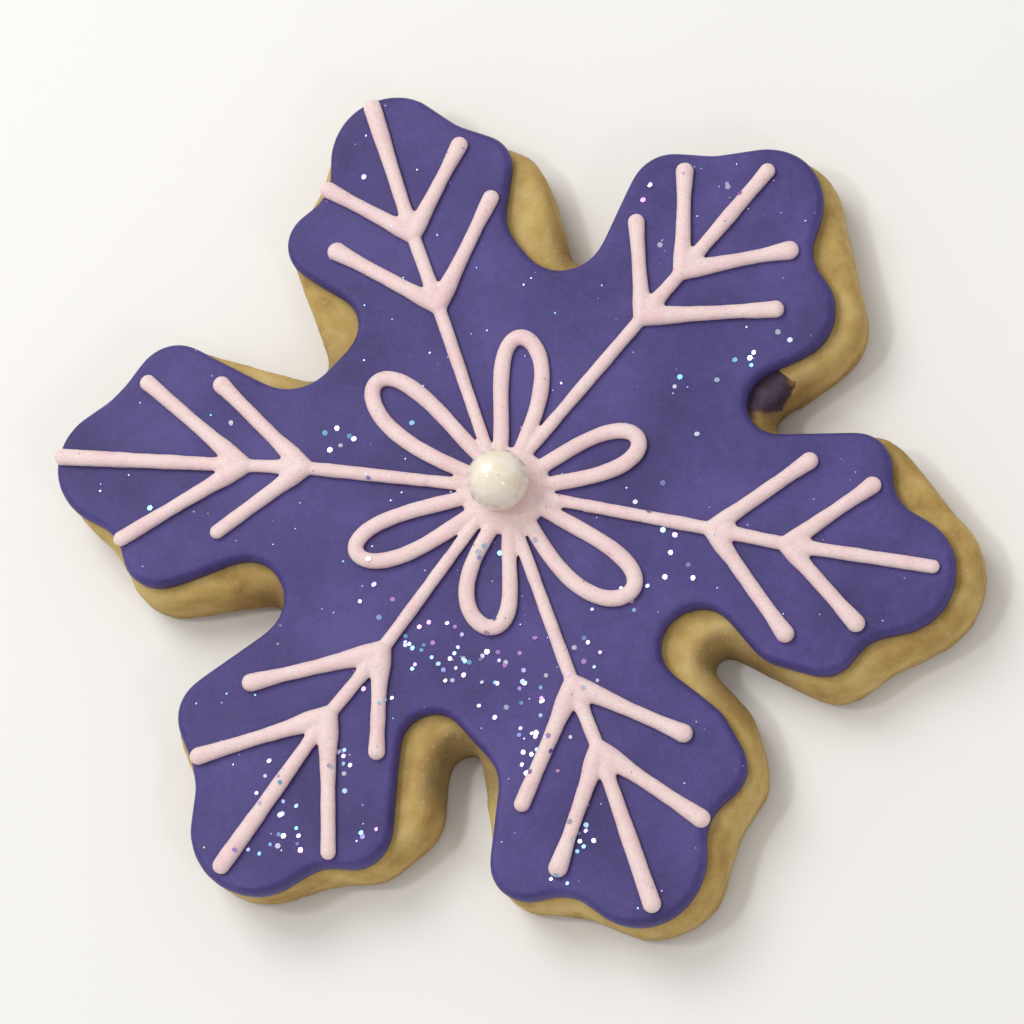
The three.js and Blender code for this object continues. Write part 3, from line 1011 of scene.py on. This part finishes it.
def buildDrip():
    wall = surfaceOf(doughPiece, metresPerMm)
    inside, height = drip["hub"]
    columns, rows = drip["columns"], drip["rows"]
    spacing = drip["length"] / columns
    fine = evenLoop(doughLoop, spacing)
    normals = loopNormals(smoothLoop(fine, spacing, drip["smoothing"]))
    middle = int(np.argmin(np.linalg.norm(fine - np.array(drip["centre"]), axis=1)))
    low, high = drip["fan"]
    front, back, cover = [], [], []
    for column in range(columns + 1):
        at = (middle + column - columns // 2) % len(fine)
        outward = Vector((*normals[at], 0))
        hub = Vector((*fine[at], height)) - outward * inside
        for row in range(rows + 1):
            angle = math.radians(low + (high - low) * row / rows)
            ray = outward * math.cos(angle) + Vector((0, 0, math.sin(angle)))
            hit = wall.ray_cast(hub + ray * (inside + drip["rayStart"]), -ray)[0]
            share = dripShare(column / columns, row / rows)
            cover.append(share)
            front.append(hit + ray * ((drip["thickness"] + drip["sunk"]) * share - drip["sunk"]))
            back.append(hit - ray * drip["backing"])
    count = len(front)
    grid = np.arange(count).reshape(columns + 1, rows + 1)
    sheet = np.dstack([grid[:-1, :-1], grid[1:, :-1], grid[1:, 1:], grid[:-1, 1:]]).reshape(-1, 4)
    rim = np.r_[grid[:, 0], grid[-1, 1:], grid[-2::-1, -1], grid[0, -2:0:-1]].tolist()
    faces = [*sheet.tolist(), *(sheet[:, ::-1] + count).tolist()]
    faces += [(a, a + count, b + count, b) for a, b in zip(rim, rim[1:] + rim[:1])]
    mesh = meshFrom("icing_drip", front + back, faces)
    addAttribute(mesh, "cover", cover * 2)
    placePiece(mesh, "icing_drip", smearMaterial)


buildDrip()

# glitter: flakes lie on the icing in loose patches, with a few on their own. Places are in the
# photograph's 1024 x 1024 frame; a patch is [x, y, spread across, spread down, flakes]
glitter = {
    "large": (0.42, 0.68),
    "small": (0.12, 0.26),
    "thickness": 0.05,
    "tilt": 0.25,
    "lift": 0.05,  # a tilted flake rests on its edge
    "gather": 0.6,  # how much of its spread a patch mostly keeps within
    "dust": 420,
    "dustAcross": (60, 980),
    "dustDown": (90, 930),
    "steepest": 0.5,  # flakes stay where the surface's normal rises at least this much
    "lowest": 7.8,
    "seed": 23,
    "patches": [
        [470, 655, 50, 26, 26], [520, 690, 36, 26, 18], [425, 640, 26, 20, 12],
        [585, 655, 18, 28, 9], [540, 745, 18, 40, 17], [582, 845, 12, 28, 11],
        [560, 880, 12, 12, 3], [280, 815, 20, 40, 17], [342, 768, 10, 22, 10],
        [372, 838, 12, 8, 3], [255, 850, 12, 14, 4], [385, 705, 14, 16, 4], [735, 190, 12, 8, 1],
        [755, 362, 26, 14, 3], [700, 385, 24, 12, 1], [640, 505, 16, 6, 2], [672, 560, 14, 28, 2],
        [335, 440, 18, 14, 3], [383, 480, 10, 10, 1], [500, 552, 26, 10, 2],
        [610, 600, 40, 30, 5], [380, 590, 18, 20, 5],
    ],
    "singles": [
        (650, 185), (643, 200), (728, 187), (740, 193), (660, 245), (735, 360), (750, 358),
        (778, 332), (790, 340), (680, 377), (717, 380), (697, 434), (663, 483), (663, 530),
        (675, 535), (665, 577), (693, 578), (412, 423), (231, 423), (330, 450), (325, 433),
        (354, 439), (150, 508), (364, 177), (535, 540), (478, 552), (500, 553),
    ],
}
photoSize = 1024


# the ray from the camera through a place in the photograph's frame
def photoRay(x, y):
    body, middle = scene.camera, photoSize / 2
    half = body.data.sensor_width / body.data.lens / 2
    ahead = Vector(((x - middle) / middle * half, (middle - y) / middle * half, -1))
    return body.location, (body.rotation_quaternion @ ahead).normalized()


# middle, normal and width of each flake, where its ray first meets the icing
def flakePlaces(surfaces):
    draw = random.Random(glitter["seed"])
    wanted = [(x, y, 1.0) for x, y in glitter["singles"]]
    for x, y, spreadX, spreadY, count in glitter["patches"]:
        for _ in range(count):
            wanted.append((draw.gauss(x, spreadX * glitter["gather"]),
                           draw.gauss(y, spreadY * glitter["gather"]), draw.random()))
    for _ in range(glitter["dust"]):
        wanted.append((draw.uniform(*glitter["dustAcross"]), draw.uniform(*glitter["dustDown"]), None))
    places = []
    for x, y, size in wanted:
        casts = [surface.ray_cast(*photoRay(x, y)) for surface in surfaces]
        hit, normal, _, _ = min((cast for cast in casts if cast[0] is not None),
                                default=(None,) * 4, key=lambda cast: cast[3])
        if hit is None or normal.z < glitter["steepest"] or hit.z < glitter["lowest"] * metresPerMm:
            continue
        low, high = glitter["small"] if size is None else glitter["large"]
        share = draw.random() if size is None else size
        places.append((hit / metresPerMm + normal * glitter["lift"], normal, low + (high - low) * share))
    return places


# geometry nodes: a hexagonal flake on every point, turned to lie along the point's normal with
# a random tilt and spin, and given a tint of its own
def flakeTree():
    tree, source = newTree("glitter_flakes", "Flakes", Places="Geometry", Thickness="Float",
                           Tilt="Float", Seed="Int", Material="Material")
    flake = addNode(tree, "GeometryNodeMeshCylinder", {
        "Vertices": 6, "Radius": 0.5, "Depth": source["Thickness"],
    })
    facing = addNode(tree, "GeometryNodeInputNamedAttribute", {"Name": "facing"},
                     data_type="FLOAT_VECTOR")
    width = addNode(tree, "GeometryNodeInputNamedAttribute", {"Name": "width"}, data_type="FLOAT")
    upright = addNode(tree, "FunctionNodeAlignRotationToVector", {"Vector": facing}, axis="Z")
    back = addNode(tree, "ShaderNodeMath", (source["Tilt"], -1.0), operation="MULTIPLY")
    lowest = addNode(tree, "ShaderNodeCombineXYZ", (back, back, 0.0))
    highest = addNode(tree, "ShaderNodeCombineXYZ", (source["Tilt"], source["Tilt"], 2 * math.pi))
    lean = addNode(tree, "FunctionNodeRandomValue", {
        "Min": lowest, "Max": highest, "Seed": source["Seed"],
    }, data_type="FLOAT_VECTOR")
    spin = addNode(tree, "FunctionNodeEulerToRotation", (lean,))
    turned = addNode(tree, "FunctionNodeRotateRotation", (upright, spin), rotation_space="LOCAL")
    placed = addNode(tree, "GeometryNodeInstanceOnPoints", {
        "Points": source["Places"], "Instance": flake, "Rotation": turned, "Scale": width,
    })
    tint = addNode(tree, "FunctionNodeRandomValue", {"Seed": source["Seed"]}, data_type="FLOAT")
    tinted = addNode(tree, "GeometryNodeStoreNamedAttribute", {
        "Geometry": placed, "Name": "flakeTint", "Value": tint,
    }, data_type="FLOAT", domain="INSTANCE")
    return endTree(tree, tinted, source["Material"])


def buildGlitter():
    surfaces = [surfaceOf(piece) for piece in (icingPiece, flowerPiece, pearlPiece, *sprayPieces)]
    middles, normals, widths = zip(*flakePlaces(surfaces))
    points = bpy.data.meshes.new("flake_places")
    points.from_pydata([tuple(middle) for middle in middles], [], [])
    facing = points.attributes.new("facing", "FLOAT_VECTOR", "POINT")
    facing.data.foreach_set("vector", [part for normal in normals for part in normal])
    addAttribute(points, "width", widths)
    mesh = meshFromTree(points, flakeTree(), {
        "Thickness": glitter["thickness"], "Tilt": glitter["tilt"], "Seed": glitter["seed"],
        "Material": glitterMaterial,
    })
    piece = placePiece(mesh, "glitter_flakes", glitterMaterial)
    piece.data.shade_flat()


buildGlitter()
